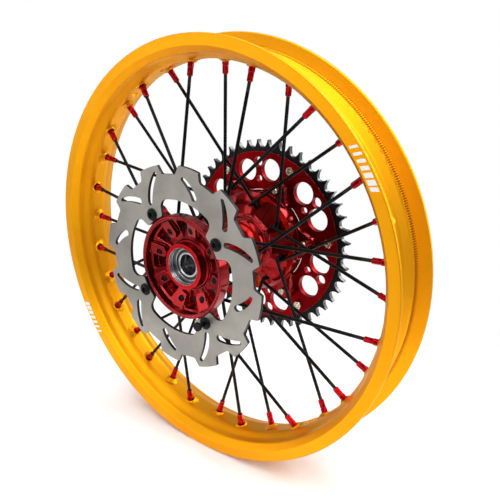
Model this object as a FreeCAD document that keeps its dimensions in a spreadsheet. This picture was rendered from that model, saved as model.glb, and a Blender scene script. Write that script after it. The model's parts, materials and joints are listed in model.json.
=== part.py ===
import FreeCAD, Part
import math
import os
import Sketcher

# Rear wheel of an off-road motorcycle, without its tyre.
# The wheel axis is Y and the rim's centre plane is Y = 0: the brake disc is on the -Y side and
# the chain wheel on the +Y side. +Z is up. Angles are measured about Y from +X towards +Z.

doc = FreeCAD.newDocument("SpokedWheel")

# Driving dimensions in millimetres and degrees. Each becomes a cell with an alias.
DIMENSIONS = {
    "rim": {
        "rim_radius": 255.3, "rim_half_width": 36.0, "band_root_radius": 242.5,
        "well_radius": 227.5, "wall_thick": 3.4, "well_half_width": 7.5, "lip_round": 1.4,
        "bead_radius": 241.2, "bead_half_width": 27.3, "boss_height": 1.9, "boss_top_radius": 6.2,
        "boss_base_radius": 11.0, "valve_hole_radius": 4.15, "valve_angle": 128.3,
        "lock_hole_radius": 4.25, "lock_angle": -51.7, "lock_lip_radius": 7.0,
    },
    "spokes": {
        "spoke_radius": 2.0, "spokes_per_group": 8, "pair_angle_brake": 88.91,
        "pair_angle_sprocket": 77.66, "lace_angle": 33.75, "nipple_offset": 4.0,
        "brake_hole_circle": 43.5, "brake_hole_spread": 9.5, "brake_elbow_outer": -45.7,
        "brake_elbow_inner": -39.0, "sprocket_hole_circle": 52.0, "sprocket_hole_spread": 4.2,
        "sprocket_elbow_outer": 52.8, "sprocket_elbow_inner": 46.2, "elbow_radius": 4.2,
        "head_radius": 3.5, "head_thick": 2.2,
    },
    "nipples": {
        "nipple_length": 17.5, "nipple_collar": 7.0, "nipple_radius": 3.75, "nipple_flats": 6.3,
        "nipple_head_radius": 4.8, "nipple_head_thick": 2.6, "nipple_bore": 2.1,
        "nipple_seat_depth": 2.7, "nipple_mouth": 1.0,
    },
    "hub": {
        "ring_radius": 61.5, "ring_front": -70.5, "boss_front": -66.0, "boss_radius": 27.4,
        "dish_floor": -52.5, "dish_rim": -61.5, "pocket_floor": -52.0, "flange_back": -48.2, "waist_radius": 24.0,
        "mouth_radius": 21.4, "core_radius": 17.5, "cone_radius": 64.0, "plate_front": 79.0,
        "plate_back": 88.0, "recess_radius": 57.0, "recess_floor": 63.5, "hub_end": 77.0,
        "ear_face": -69.0, "ear_thick": 12.0, "arm_reach": 79.0, "arm_half_width": 8.5,
        "block_top": -61.0, "spoke_hole_radius": 2.35,
        "ear_count": 4, "arm_count": 6, "pocket_count": 8, "flute_radius": 60.0,
        "flute_depth": 2.3, "flute_length": 30.0, "shoulder_radius": 37.5, "arm_front": 75.0,
        "retainer_groove": 1.5,
    },
    "brake": {
        "disc_radius": 119.0, "disc_valley_radius": 108.4, "disc_inner_radius": 80.0,
        "disc_thick": 4.0, "tab_tip_radius": 62.4, "disc_bolt_circle": 69.3,
        "disc_bolt_angle": 35.6, "disc_bolt_radius": 4.0, "disc_head_radius": 7.5,
        "disc_head_thick": 2.9, "disc_waves": 12, "disc_key": 6.0, "disc_key_depth": 2.5,
        "disc_bolt_end": 2.0, "stud_radius": 2.3, "stud_reach": 12.0, "stud_head_radius": 5.2,
        "stud_head_thick": 4.2,
    },
    "drive": {
        "tooth_count": 48, "chain_pitch": 15.875, "roller_radius": 5.15, "tip_radius": 125.9,
        "ring_near": 90.0, "ring_thick": 5.9, "ring_inner_radius": 105.5, "carrier_near": 88.0,
        "carrier_thick": 7.0, "carrier_radius": 111.4, "carrier_bore": 63.0,
        "mount_bolt_circle": 75.0, "mount_angle": 6.6, "mount_bolt_radius": 4.0,
        "ring_bolt_circle": 100.2, "ring_bolt_radius": 3.0, "big_hole_circle": 89.2,
        "big_hole_radius": 14.2, "big_hole_spread": 12.0, "outer_hole_circle": 98.2,
        "outer_hole_radius": 6.4, "inner_hole_circle": 76.5, "inner_hole_radius": 4.4,
        "mount_head_radius": 7.0, "mount_head_thick": 5.0, "mount_key": 6.0,
        "mount_bolt_end": 8.0, "ring_head_radius": 5.2, "ring_head_thick": 3.0, "ring_key": 4.0,
        "ring_bolt_end": 4.4, "ring_nut_flats": 10.0, "ring_nut_thick": 4.8, "ring_nut_dish": 0.9,
        "lug_radius": 6.4, "lug_root": 9.5, "gap_half_width": 7.35, "seat_half_angle": 58.0,
    },
    "bearings": {
        "axle_radius": 12.5, "bearing_radius": 21.0, "bearing_width": 9.0, "ball_radius": 2.38,
        "ball_circle": 16.75, "ball_count": 14, "race_wall": 1.9, "brake_bearing": -57.5,
        "sprocket_bearing": 50.0, "retainer_thick": 1.4, "retainer_width": 3.0,
        "retainer_gap": 7.0, "cage_half_thick": 0.7, "seal_thick": 0.8, "seal_depth": 0.45,
        "tube_wall": 2.4,
    },
    "fits": {
        "nipple_play": 0.15, "nipple_head_play": 0.25, "bolt_play": 0.15, "thread_play": 0.1,
        "tapped_play": 0.05, "lap_play": 0.1, "groove_play": 0.07,
        "cage_play": 0.08, "seal_play": 0.15, "retainer_play": 0.05,
    },
}

sheet = doc.addObject("Spreadsheet::Sheet", "Sizes")
row = 1
for group, cells in DIMENSIONS.items():
    for alias, number in cells.items():
        sheet.set(f"A{row}", f"{group}: {alias}")
        sheet.set(f"B{row}", str(number))
        sheet.setAlias(f"B{row}", alias)
        row += 1
doc.recompute()


class Size:
    """A number read from the sheet, together with the expression that names its cells."""

    def __init__(self, value, text):
        self.value = value
        self.text = text

    def __add__(self, other):
        other = as_size(other)
        return Size(self.value + other.value, f"({self.text} + {other.text})")

    def __sub__(self, other):
        other = as_size(other)
        return Size(self.value - other.value, f"({self.text} - {other.text})")

    def __mul__(self, other):
        other = as_size(other)
        return Size(self.value * other.value, f"({self.text} * {other.text})")

    def __neg__(self):
        return Size(-self.value, f"(0 - {self.text})")

    def __radd__(self, other):
        return as_size(other) + self

    def __rsub__(self, other):
        return as_size(other) - self

    def __rmul__(self, other):
        return as_size(other) * self


def as_size(number):
    return number if isinstance(number, Size) else Size(float(number), f"{float(number):.6f}")


class Sheet:
    """The cells of the sheet as attributes, so that s.rim_radius is one driving dimension."""

    def __getattr__(self, alias):
        return Size(float(sheet.get(alias)), f"Sizes.{alias}")


s = Sheet()
parts = []


def bind(owner, name, size):
    """Give one property its number and tie it to its cells."""
    size = as_size(size)
    setattr(owner, name, size.value)
    if "Sizes." in size.text:
        owner.setExpression(name, size.text)


def polar(radius, degrees):
    """Sketch coordinates of a point at a radius and an angle, as sizes tied to the radius."""
    radius = as_size(radius)
    angle = as_size(degrees)
    turn = math.radians(angle.value)
    across = Size(radius.value * math.cos(turn), f"({radius.text} * cos({angle.text} * 1 deg))")
    up = Size(radius.value * math.sin(turn), f"({radius.text} * sin({angle.text} * 1 deg))")
    return across, up


# ---------------------------------------------------------------- bodies and sketches

def new_body(label):
    """One sub-part: its Label names its file."""
    body = doc.addObject("PartDesign::Body", label)
    body.Label = label
    body.AllowCompound = True
    parts.append(body)
    return body


def origin_item(body, role):
    """A plane or axis of the body's own origin."""
    for item in body.Origin.OriginFeatures:
        if item.Role == role:
            return item
    raise ValueError(role)


def new_sketch(body, plane="XY_Plane", offset=None):
    """A sketch on one of the body's origin planes, moved by offset in that plane's frame."""
    sketch = body.newObject("Sketcher::SketchObject", f"{body.Label}_sketch")
    sketch.AttachmentSupport = (origin_item(body, plane), "")
    sketch.MapMode = "FlatFace"
    if offset is not None:
        sketch.AttachmentOffset = offset
    return sketch


def pin(geometry, position, point):
    """The limits that hold a sketch point at its coordinates: each with its number's size."""
    limits = []
    for kind, coordinate, axis in (("DistanceX", point[0], -2), ("DistanceY", point[1], -1)):
        size = as_size(coordinate)
        if abs(size.value) < 1e-9:
            limits.append((("PointOnObject", geometry, position, axis), None))
        else:
            limits.append(((kind, -1, 1, geometry, position, size.value), size))
    return limits


def hold(sketch, limits):
    """Add all of an outline's limits at once, then tie those that name a cell to the sheet."""
    first = sketch.ConstraintCount
    sketch.addConstraint([Sketcher.Constraint(*limit) for limit, _ in limits])
    for place, (_, size) in enumerate(limits):
        if size is not None and "Sizes." in size.text:
            name = f"size_{first + place}"
            sketch.renameConstraint(first + place, name)
            sketch.setExpression(f"Constraints.{name}", size.text)


class Bend:
    """Joins the outline's last point to its next by an arc; turn is +1 when it goes anticlockwise."""

    def __init__(self, radius, turn):
        self.radius = as_size(radius)
        self.turn = turn


def arc_between(start, end, bend):
    """The arc of less than half a turn from start to end, and its centre."""
    chord = end - start
    reach = chord.Length / 2
    rise = math.sqrt(max(bend.radius.value ** 2 - reach ** 2, 0.0))
    side = FreeCAD.Vector(-chord.y, chord.x, 0).normalize() * (rise * bend.turn)
    centre = (start + end) * 0.5 + side
    first, last = (start, end) if bend.turn > 0 else (end, start)
    begin = math.atan2(first.y - centre.y, first.x - centre.x)
    finish = math.atan2(last.y - centre.y, last.x - centre.x)
    circle = Part.Circle(centre, FreeCAD.Vector(0, 0, 1), bend.radius.value)
    return Part.ArcOfCircle(circle, begin, finish)


def draw_outline(sketch, items):
    """One closed outline of straight stretches, and of arcs wherever a Bend stands between points."""
    steps = []
    bend = None
    for item in items + [items[0]]:
        if isinstance(item, Bend):
            bend = item
            continue
        steps.append((item, bend))
        bend = None
    ends = []
    edges = []
    base = sketch.GeometryCount
    for (point, _), (following, bend) in zip(steps, steps[1:]):
        start = FreeCAD.Vector(as_size(point[0]).value, as_size(point[1]).value, 0)
        end = FreeCAD.Vector(as_size(following[0]).value, as_size(following[1]).value, 0)
        index = base + len(edges)
        edges.append(Part.LineSegment(start, end) if bend is None
                     else arc_between(start, end, bend))
        clockwise = bend is not None and bend.turn < 0
        ends.append((index, 2, 1) if clockwise else (index, 1, 2))
    sketch.addGeometry(edges, False)
    limits = []
    for place, (index, start_end, stop_end) in enumerate(ends):
        follower, follower_start, _ = ends[(place + 1) % len(ends)]
        limits.append((("Coincident", index, stop_end, follower, follower_start), None))
        limits += pin(index, start_end, steps[place][0])
        bend = steps[place + 1][1]
        if bend is not None:
            limits.append((("Radius", index, bend.radius.value), bend.radius))
    hold(sketch, limits)


def draw_circle(sketch, centre, radius):
    """One whole circle, its centre and its radius bound to the sheet."""
    radius = as_size(radius)
    middle = FreeCAD.Vector(as_size(centre[0]).value, as_size(centre[1]).value, 0)
    circle = Part.Circle(middle, FreeCAD.Vector(0, 0, 1), radius.value)
    index = sketch.addGeometry(circle, False)
    hold(sketch, pin(index, 3, centre) + [(("Radius", index, radius.value), radius)])


# ---------------------------------------------------------------- features

def turn(body, items, offset=None, cut=False):
    """Revolve an outline about its sketch's vertical axis: the wheel axis unless offset moves it."""
    sketch = new_sketch(body, "XY_Plane", offset)
    draw_outline(sketch, items)
    kind = "PartDesign::Groove" if cut else "PartDesign::Revolution"
    feature = body.newObject(kind, f"{body.Label}_turned")
    feature.Profile = sketch
    feature.ReferenceAxis = (sketch, ["V_Axis"])
    feature.Angle = 360
    feature.Refine = False
    return feature


def side_sketch(body, level, spin=0.0):
    """A sketch square to the wheel axis at a given Y, its own X turned by spin degrees.

    The sketch's X runs along +X and its Y along +Z before the turn; its normal is -Y.
    """
    level = as_size(level)
    place = FreeCAD.Placement(
        FreeCAD.Vector(0, 0, -level.value), FreeCAD.Rotation(FreeCAD.Vector(0, 0, 1), spin))
    sketch = new_sketch(body, "XZ_Plane", place)
    if "Sizes." in level.text:
        sketch.setExpression("AttachmentOffset.Base.z", (-level).text)
    return sketch


def extrude(body, sketch, length, towards=1, cut=False):
    """Pad or pocket a side sketch; towards is +1 for material that grows to +Y."""
    kind = "PartDesign::Pocket" if cut else "PartDesign::Pad"
    feature = body.newObject(kind, f"{body.Label}_extruded")
    feature.Profile = sketch
    bind(feature, "Length", length)
    along_normal = towards < 0
    feature.Reversed = along_normal if cut else not along_normal
    feature.Refine = False
    return feature


def repeat(body, features, count):
    """Repeat features around the wheel axis and make the pattern the body's tip."""
    pattern = body.newObject("PartDesign::PolarPattern", f"{body.Label}_pattern")
    pattern.Originals = features
    pattern.Axis = (origin_item(body, "Y_Axis"), [""])
    pattern.Angle = 360
    pattern.Occurrences = int(as_size(count).value)
    if isinstance(count, Size):
        pattern.setExpression("Occurrences", count.text)
    body.Tip = pattern
    return pattern


def ring(label, inner, outer, near, far):
    """A plain turned ring between two radii and two places on the wheel axis."""
    body = new_body(label)
    turn(body, [(inner, near), (outer, near), (outer, far), (inner, far)])
    return body


def half_round(radius):
    """Half a disc against the sketch's vertical axis: turned, it makes a ball."""
    return [(0, -radius), Bend(radius, 1), (radius, 0), Bend(radius, 1), (0, radius)]


# ---------------------------------------------------------------- spoke lines

class Lace:
    """One of the four kinds of spoke: from its elbow at the hub flange to its hole in the rim."""

    def __init__(self, side, way):
        brake = side == "brake"
        self.name = f"{side}_{'leading' if way > 0 else 'trailing'}"
        self.outward = -1 if brake else 1
        pair = s.pair_angle_brake if brake else s.pair_angle_sprocket
        spread = s.brake_hole_spread if brake else s.sprocket_hole_spread
        circle = s.brake_hole_circle if brake else s.sprocket_hole_circle
        outer = s.brake_elbow_outer if brake else s.sprocket_elbow_outer
        inner = s.brake_elbow_inner if brake else s.sprocket_elbow_inner
        self.head_seat = s.recess_floor
        if brake:
            self.head_seat = s.block_top + 2.0 if way > 0 else s.pocket_floor
        self.hub_angle = pair - way * spread
        self.rim_angle = pair + way * s.lace_angle
        self.elbow_level = outer if way > 0 else inner
        self.elbow = on_wheel(circle.value, self.elbow_level.value, self.hub_angle.value)
        self.seat = on_wheel(
            s.well_radius.value, self.outward * s.nipple_offset.value, self.rim_angle.value)
        self.direction = (self.seat - self.elbow).normalize()
        self.span = (self.seat - self.elbow).Length

    def inward_place(self):
        """Places a sketch at the nipple's seat with its vertical axis along the spoke, inwards."""
        inwards = -self.direction
        across = inwards.cross(FreeCAD.Vector(0, 1, 0)).normalize()
        return FreeCAD.Placement(self.seat, rotation_of(across, inwards))

    def elbow_place(self):
        """Places a sketch at the elbow: its X points to the rim, square to the wheel axis."""
        flat = FreeCAD.Vector(self.direction.x, 0, self.direction.z).normalize()
        return FreeCAD.Placement(self.elbow, rotation_of(flat, FreeCAD.Vector(0, 1, 0)))


def rotation_of(across, up):
    """The rotation that takes X to across and Y to up."""
    normal = across.cross(up)
    return FreeCAD.Rotation(FreeCAD.Matrix(
        across.x, up.x, normal.x, 0,
        across.y, up.y, normal.y, 0,
        across.z, up.z, normal.z, 0,
        0, 0, 0, 1))


def on_wheel(radius, level, degrees):
    """A point from its radius, its place on the wheel axis and its angle."""
    angle = math.radians(degrees)
    return FreeCAD.Vector(radius * math.cos(angle), level, radius * math.sin(angle))


LACES = {
    "brake_leading": Lace("brake", 1),
    "brake_trailing": Lace("brake", -1),
    "sprocket_leading": Lace("sprocket", 1),
    "sprocket_trailing": Lace("sprocket", -1),
}


# ---------------------------------------------------------------- rim

def rim_side(side):
    """Half of the rim's section, from the well's inner face round the lip to the well's outer face."""
    width = s.rim_half_width
    bead = s.bead_half_width
    well = s.well_half_width
    return [
        (s.well_radius, side * well),
        Bend(14, -side),
        (s.well_radius + 1.88, side * (well + 7.0)),
        (s.well_radius + 5.0, side * (well + 12.4)),
        Bend(16, side),
        (s.well_radius + 7.0, side * (well + 18.2)),
        Bend(6.5, -side),
        (s.band_root_radius - 6.49, side * (width - 6.96)),
        (s.band_root_radius - 0.76, side * (width - 0.35)),
        Bend(1.0, -side),
        (s.band_root_radius, side * width),
        (s.rim_radius - s.lip_round, side * width),
        Bend(s.lip_round, -side),
        (s.rim_radius, side * (width - s.lip_round)),
        (s.rim_radius, side * (width - s.lip_round - 0.9)),
        Bend(1.9, -side),
        (s.rim_radius - 1.6, side * (width - s.lip_round - 2.7)),
        (s.bead_radius + 5.2, side * (bead + 1.9)),
        (s.bead_radius + 2.2, side * (bead + 0.7)),
        Bend(2.4, side),
        (s.bead_radius, side * (bead - 1.6)),
        (s.bead_radius, side * (bead - 4.6)),
        Bend(3.2, -side),
        (s.bead_radius - 1.9, side * (bead - 6.8)),
        (s.well_radius + s.wall_thick + 3.6, side * (well + 5.6)),
        Bend(9, side),
        (s.well_radius + s.wall_thick, side * (well - 0.6)),
    ]


def mirror_order(items):
    """The same stretch of outline run the other way: each bend then turns the other way."""
    return [Bend(item.radius, -item.turn) if isinstance(item, Bend) else item
            for item in reversed(items)]


def boss_outline():
    """Outline of the swelling around one nipple hole; its axis is the spoke's own line."""
    sunk = -(s.wall_thick * 0.7)
    return [(0, s.boss_height), (s.boss_top_radius - 0.5, s.boss_height),
            (s.boss_top_radius, s.boss_height - 0.4), Bend(9, 1),
            (s.boss_base_radius, -1.9), (s.boss_base_radius - 0.5, sunk), (0, sunk)]


def nipple_hole_outline():
    """Outline of one nipple hole: a flared mouth and a seat for the head on the tyre side."""
    hole = s.nipple_radius + s.nipple_play
    mouth = hole + s.nipple_mouth
    seat = s.nipple_head_radius + s.nipple_head_play
    return [(0, 9), (mouth, 9), (mouth, s.boss_height - 1.2), (hole, s.boss_height - 2.6),
            (hole, -s.nipple_seat_depth), (seat, -s.nipple_seat_depth), (seat, -14), (0, -14)]


def radial_place(angle):
    """Turns a sketch so that its vertical axis points away from the wheel axis at an angle."""
    return FreeCAD.Placement(
        FreeCAD.Vector(),
        FreeCAD.Rotation(FreeCAD.Vector(0, 1, 0), -angle.value)
        * FreeCAD.Rotation(FreeCAD.Vector(0, 0, 1), -90))


def build_rim():
    body = new_body("rim")
    turn(body, rim_side(1) + mirror_order(rim_side(-1)))
    places = [lace.inward_place() for lace in LACES.values()]
    bosses = [turn(body, boss_outline(), place) for place in places]
    repeat(body, bosses, s.spokes_per_group)
    lip = [(0, s.well_radius - 0.8), (s.lock_lip_radius - 0.8, s.well_radius - 0.8),
           (s.lock_lip_radius, s.well_radius + 0.4), (s.lock_lip_radius, s.well_radius + 1.6),
           (0, s.well_radius + 1.6)]
    turn(body, lip, radial_place(s.lock_angle))
    holes = [turn(body, nipple_hole_outline(), place, cut=True) for place in places]
    repeat(body, holes, s.spokes_per_group)
    low = s.well_radius - 4
    high = s.well_radius + s.wall_thick + 8
    for angle, radius in ((s.valve_angle, s.valve_hole_radius), (s.lock_angle, s.lock_hole_radius)):
        outline = [(0, low), (radius, low), (radius, high), (0, high)]
        body.Tip = turn(body, outline, radial_place(angle), cut=True)


# ---------------------------------------------------------------- spokes and nipples

def build_spokes(lace):
    """Eight bent spokes: a head outside the flange, an elbow and a straight run into the nipple."""
    body = new_body(f"spokes_{lace.name}")
    out = lace.outward
    slope = math.asin(lace.direction.y)
    bend = s.elbow_radius.value
    set_back = bend * math.tan((math.pi / 2 - abs(slope)) / 2)
    run = lace.span + s.nipple_seat_depth.value
    seat = lace.head_seat - lace.elbow_level
    first = FreeCAD.Vector(0, out * set_back, 0)
    last = FreeCAD.Vector(set_back * math.cos(slope), set_back * math.sin(slope), 0)
    end = FreeCAD.Vector(run * math.cos(slope), run * math.sin(slope), 0)
    path = new_sketch(body, "XY_Plane", lace.elbow_place())
    path.addGeometry(Part.LineSegment(FreeCAD.Vector(0, seat.value, 0), first), False)
    path.addGeometry(arc_between(first, last, Bend(bend, out)), False)
    path.addGeometry(Part.LineSegment(last, end), False)
    path.addConstraint([Sketcher.Constraint("Block", edge) for edge in range(3)])
    section = side_sketch(body, lace.head_seat)
    draw_circle(section, (lace.elbow.x, lace.elbow.z), s.spoke_radius)
    wire = body.newObject("PartDesign::AdditivePipe", f"{body.Label}_wire")
    wire.Profile = section
    wire.Spine = (path, ["Edge1", "Edge2", "Edge3"])
    wire.Refine = False
    top = seat + out * s.head_thick
    head = [(0, seat), (s.head_radius - 0.6, seat), (s.head_radius, seat + out * 0.7),
            (s.head_radius - 0.7, top - out * 0.3), (s.head_radius - 1.5, top), (0, top)]
    button = turn(body, head, lace.elbow_place())
    repeat(body, [wire, button], s.spokes_per_group)


def hexagon(sketch, flats, centre=(0, 0), start=0):
    """A hexagon about a centre, from its width across flats; start is its first corner's angle."""
    reach = as_size(flats) * (1 / math.sqrt(3))
    corners = [polar(reach, start + 60 * corner) for corner in range(6)]
    draw_outline(sketch, [(centre[0] + across, centre[1] + up) for across, up in corners])


def build_nipples(label, laces):
    """Sixteen nipples: a head on the tyre side, a round collar in the hole and a hexagon."""
    body = new_body(label)
    features = []
    length = s.nipple_length
    bore = s.nipple_bore
    radius = s.nipple_radius
    across = s.nipple_flats * 0.5
    seat = -s.nipple_seat_depth
    for lace in laces:
        place = lace.inward_place()
        round_part = [
            (bore, length), (across - 0.35, length), (across - 0.02, length - 0.8),
            (across - 0.02, s.nipple_collar + 0.6), (radius, s.nipple_collar),
            (radius, seat), (s.nipple_head_radius, seat),
            (s.nipple_head_radius, seat - 0.9), Bend(3.4, -1),
            (s.nipple_head_radius - 1.9, seat - s.nipple_head_thick),
            (bore, seat - s.nipple_head_thick)]
        features.append(turn(body, round_part, place))
        lying = FreeCAD.Placement(
            place.Rotation.multVec(FreeCAD.Vector(0, s.nipple_collar.value + 0.6, 0)) + place.Base,
            place.Rotation * FreeCAD.Rotation(FreeCAD.Vector(1, 0, 0), -90))
        flat = new_sketch(body, "XY_Plane", lying)
        hexagon(flat, s.nipple_flats)
        draw_circle(flat, (0, 0), bore)
        grip = body.newObject("PartDesign::Pad", f"{label}_hexagon")
        grip.Profile = flat
        bind(grip, "Length", length - s.nipple_collar - 1.4)
        grip.Refine = False
        features.append(grip)
    repeat(body, features, s.spokes_per_group)


# ---------------------------------------------------------------- hub

def hub_outline():
    """Section of the hub shell, from the brake side's mouth round the outside and back by the bore."""
    mouth = s.mouth_radius
    seat = s.bearing_radius
    groove = seat + s.retainer_groove
    boss = s.boss_radius
    floor = s.dish_floor
    edge = s.ring_radius
    front = s.ring_front
    back = s.flange_back
    waist = s.waist_radius
    cone = s.cone_radius
    shoulder = s.shoulder_radius
    recess = s.recess_radius
    deep = s.recess_floor
    brake_in = s.brake_bearing + s.bearing_width
    drive_in = s.sprocket_bearing
    drive_out = drive_in + s.bearing_width * 2
    thick = s.retainer_thick + s.retainer_play * 2
    return [
        (mouth + 0.7, s.boss_front), (boss - 0.5, s.boss_front), (boss, s.boss_front + 0.5),
        (boss + 0.3, floor - 2.6), Bend(2.6, 1), (boss + 2.7, floor), (boss + 4.2, floor),
        (edge - 6.2, s.dish_rim), (edge - 4.8, front + 1.6), (edge - 4.8, front + 0.5),
        (edge - 4.1, front), (edge - 3.0, front), (edge - 2.8, front + 0.3),
        (edge - 2.2, front + 0.3), (edge - 2.0, front), (edge - 0.5, front),
        (edge, front + 0.5), (edge, front + 12.5), Bend(4, -1),
        (edge - 2.5, front + 16.5), (edge - 6.0, back), (waist + 14.0, back),
        Bend(16, 1), (waist, back + 15.0), (waist, s.plate_front - 52.0),
        Bend(20, 1), (shoulder - 2.2, s.plate_front - 33.5), Bend(2.4, -1),
        (shoulder, s.plate_front - 31.2), (shoulder, s.plate_front - 29.4), Bend(1.2, 1),
        (shoulder + 1.2, s.plate_front - 28.2), (cone - 4.0, s.plate_front - 19.0),
        (cone, s.plate_front - 14.0), (cone, s.plate_front - 1.0), (cone - 1.0, s.plate_front),
        (cone - 1.5, s.plate_back), (recess, s.plate_back), (recess, deep + 1.0),
        (recess - 1.0, deep), (boss + 2.6, deep), (boss + 1.0, s.hub_end - 0.8),
        (boss + 0.2, s.hub_end), (mouth + 0.5, s.hub_end), (mouth, s.hub_end - 0.5),
        (mouth, drive_out + thick), (groove, drive_out + thick), (groove, drive_out),
        (seat, drive_out), (seat, drive_in), (s.core_radius, drive_in),
        (s.core_radius, brake_in), (seat, brake_in), (seat, s.brake_bearing),
        (groove, s.brake_bearing), (groove, s.brake_bearing - thick),
        (mouth, s.brake_bearing - thick), (mouth, s.boss_front + 4.8),
        (mouth + 0.4, s.boss_front + 4.4), (mouth + 0.4, s.boss_front + 2.6),
        (mouth + 0.7, s.boss_front + 2.2),
    ]


def build_hub():
    body = new_body("hub")
    turn(body, hub_outline())
    add_disc_ears(body)
    add_drive_arms(body)
    cut_dish_pockets(body)
    cut_cone_flutes(body)
    cut_spoke_holes(body)


def add_disc_ears(body):
    """Four ears behind the brake disc, each with a threaded hole through it."""
    sketch = side_sketch(body, s.ear_face, s.disc_bolt_angle.value)
    reach = s.disc_bolt_circle
    draw_outline(sketch, [
        (s.ring_radius - 2.6, -12.5), (reach - 4.0, -9.8), (reach, -9.4), Bend(9.45, 1),
        (reach, 9.4), (reach - 4.0, 9.8), (s.ring_radius - 2.6, 12.5)])
    repeat(body, [extrude(body, sketch, s.ear_thick)], s.ear_count)
    holes = side_sketch(body, s.ear_face - 1, s.disc_bolt_angle.value)
    draw_circle(holes, (reach, 0), s.disc_bolt_radius + s.tapped_play)
    repeat(body, [extrude(body, holes, s.ear_thick + 6, cut=True)], s.ear_count)


def add_drive_arms(body):
    """Six arms that carry the chain wheel, each with a threaded hole in its rounded tip."""
    plate = s.plate_back - s.arm_front
    sketch = side_sketch(body, s.arm_front, s.mount_angle.value)
    tip = s.arm_half_width
    root = s.cone_radius - 3.5
    draw_outline(sketch, [
        (root, -22.5), (root + 4.0, -19.5), Bend(14, -1), (root + 8.5, -14.8),
        (s.arm_reach, -tip), Bend(tip + 0.02, 1), (s.arm_reach, tip),
        (root + 8.5, 14.8), Bend(14, -1), (root + 4.0, 19.5), (root, 22.5)])
    repeat(body, [extrude(body, sketch, plate)], s.arm_count)
    holes = side_sketch(body, s.arm_front - 1, s.mount_angle.value)
    draw_circle(holes, (s.mount_bolt_circle, 0), s.mount_bolt_radius + s.tapped_play)
    repeat(body, [extrude(body, holes, plate + 2, cut=True)], s.arm_count)


def cut_dish_pockets(body):
    """Eight pockets in the dish, and beside each a slanted block that carries one spoke head."""
    pair = s.pair_angle_brake.value
    sketch = side_sketch(body, s.dish_rim - 0.1, pair)
    inner = s.boss_radius + 5.0
    outer = s.ring_radius - 8.0
    draw_outline(sketch, [
        polar(inner, -2.0), polar(outer - 2, -3.5), Bend(3, 1), polar(outer, -1.0),
        Bend(outer, 1), polar(outer, 15.0), Bend(3, 1), polar(outer - 2, 17.5),
        polar(inner, 18.5), Bend(inner, -1)])
    deep = s.pocket_floor - s.dish_rim
    repeat(body, [extrude(body, sketch, deep + 0.1, cut=True)], s.pocket_count)
    place = slanted_place(pair - s.brake_hole_spread.value)
    block = new_sketch(body, "XY_Plane", place)
    draw_outline(block, [(-9.5, -3.0), (-5.5, -8.0), (11.6, -9.0), (12.2, 5.5), (-7.5, 5.2)])
    pad = body.newObject("PartDesign::Pad", f"{body.Label}_block")
    pad.Profile = block
    pad.Length = 8.2
    pad.Reversed = True
    pad.Refine = False
    repeat(body, [pad], s.pocket_count)
    seats = side_sketch(body, s.ring_front)
    lace = LACES["brake_leading"]
    draw_circle(seats, (lace.elbow.x, lace.elbow.z), s.head_radius + 0.5)
    repeat(body, [extrude(body, seats, lace.head_seat - s.ring_front, cut=True)], s.pocket_count)


def slanted_place(degrees):
    """A slanted plane just under a spoke head's top; its X points away from the wheel axis."""
    centre = on_wheel(s.brake_hole_circle.value, s.block_top.value, degrees)
    outwards = FreeCAD.Rotation(FreeCAD.Vector(0, 1, 0), -degrees)
    facing = FreeCAD.Rotation(FreeCAD.Vector(1, 0, 0), 90)
    slant = FreeCAD.Rotation(FreeCAD.Vector(0, 1, 0), -14)
    roll = FreeCAD.Rotation(FreeCAD.Vector(1, 0, 0), -7)
    return FreeCAD.Placement(centre, outwards * facing * slant * roll)


def cut_cone_flutes(body):
    """Eight long shallow flutes down the drive side's cone, between the spoke pairs."""
    angle = math.radians((s.pair_angle_sprocket + 22.5).value)
    run = (s.cone_radius - 4.0 - s.shoulder_radius - 1.2).value
    slope = math.atan2(9.2, run)
    outwards = FreeCAD.Vector(math.cos(angle), 0, math.sin(angle))
    downhill = outwards * math.cos(slope) + FreeCAD.Vector(0, math.sin(slope), 0)
    across = FreeCAD.Vector(-math.sin(angle), 0, math.cos(angle))
    up = downhill.cross(across)
    top = outwards * (s.shoulder_radius + 1.2).value
    top.y = (s.plate_front - 28.2).value
    clear = outwards * math.sin(slope) - FreeCAD.Vector(0, math.cos(slope), 0)
    centre = top + clear * (s.flute_radius - s.flute_depth).value
    sketch = new_sketch(body, "XY_Plane", FreeCAD.Placement(centre, rotation_of(across, up)))
    draw_circle(sketch, (0, 0), s.flute_radius)
    flute = extrude(body, sketch, s.flute_length, towards=-1, cut=True)
    repeat(body, [flute], s.pocket_count)


def cut_spoke_holes(body):
    """A hole along the wheel axis for every spoke's bent end."""
    for lace in LACES.values():
        out = lace.outward
        start = as_size(lace.elbow_level + out * 0.3)
        sketch = side_sketch(body, start)
        draw_circle(sketch, (lace.elbow.x, lace.elbow.z), s.spoke_hole_radius)
        hole = extrude(body, sketch, 24, towards=out, cut=True)
        repeat(body, [hole], s.spokes_per_group)


# ---------------------------------------------------------------- brake disc

def valley_outline():
    """One valley between two waves of the disc's edge: a flat floor and rounded corners."""
    radius = s.disc_radius
    valley = s.disc_valley_radius
    middle = s.disc_bolt_angle + 1.2
    return [
        polar(radius + 3, middle - 9.6), polar(radius, middle - 8.5), Bend(1.7, 1),
        polar(radius - 1.6, middle - 7.6), polar(valley + 3.0, middle - 6.3), Bend(4.5, -1),
        polar(valley, middle - 3.6), polar(valley, middle + 3.6), Bend(4.5, -1),
        polar(valley + 3.0, middle + 6.3), polar(radius - 1.6, middle + 7.6), Bend(1.7, 1),
        polar(radius, middle + 8.5), polar(radius + 3, middle + 9.6)]


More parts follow.
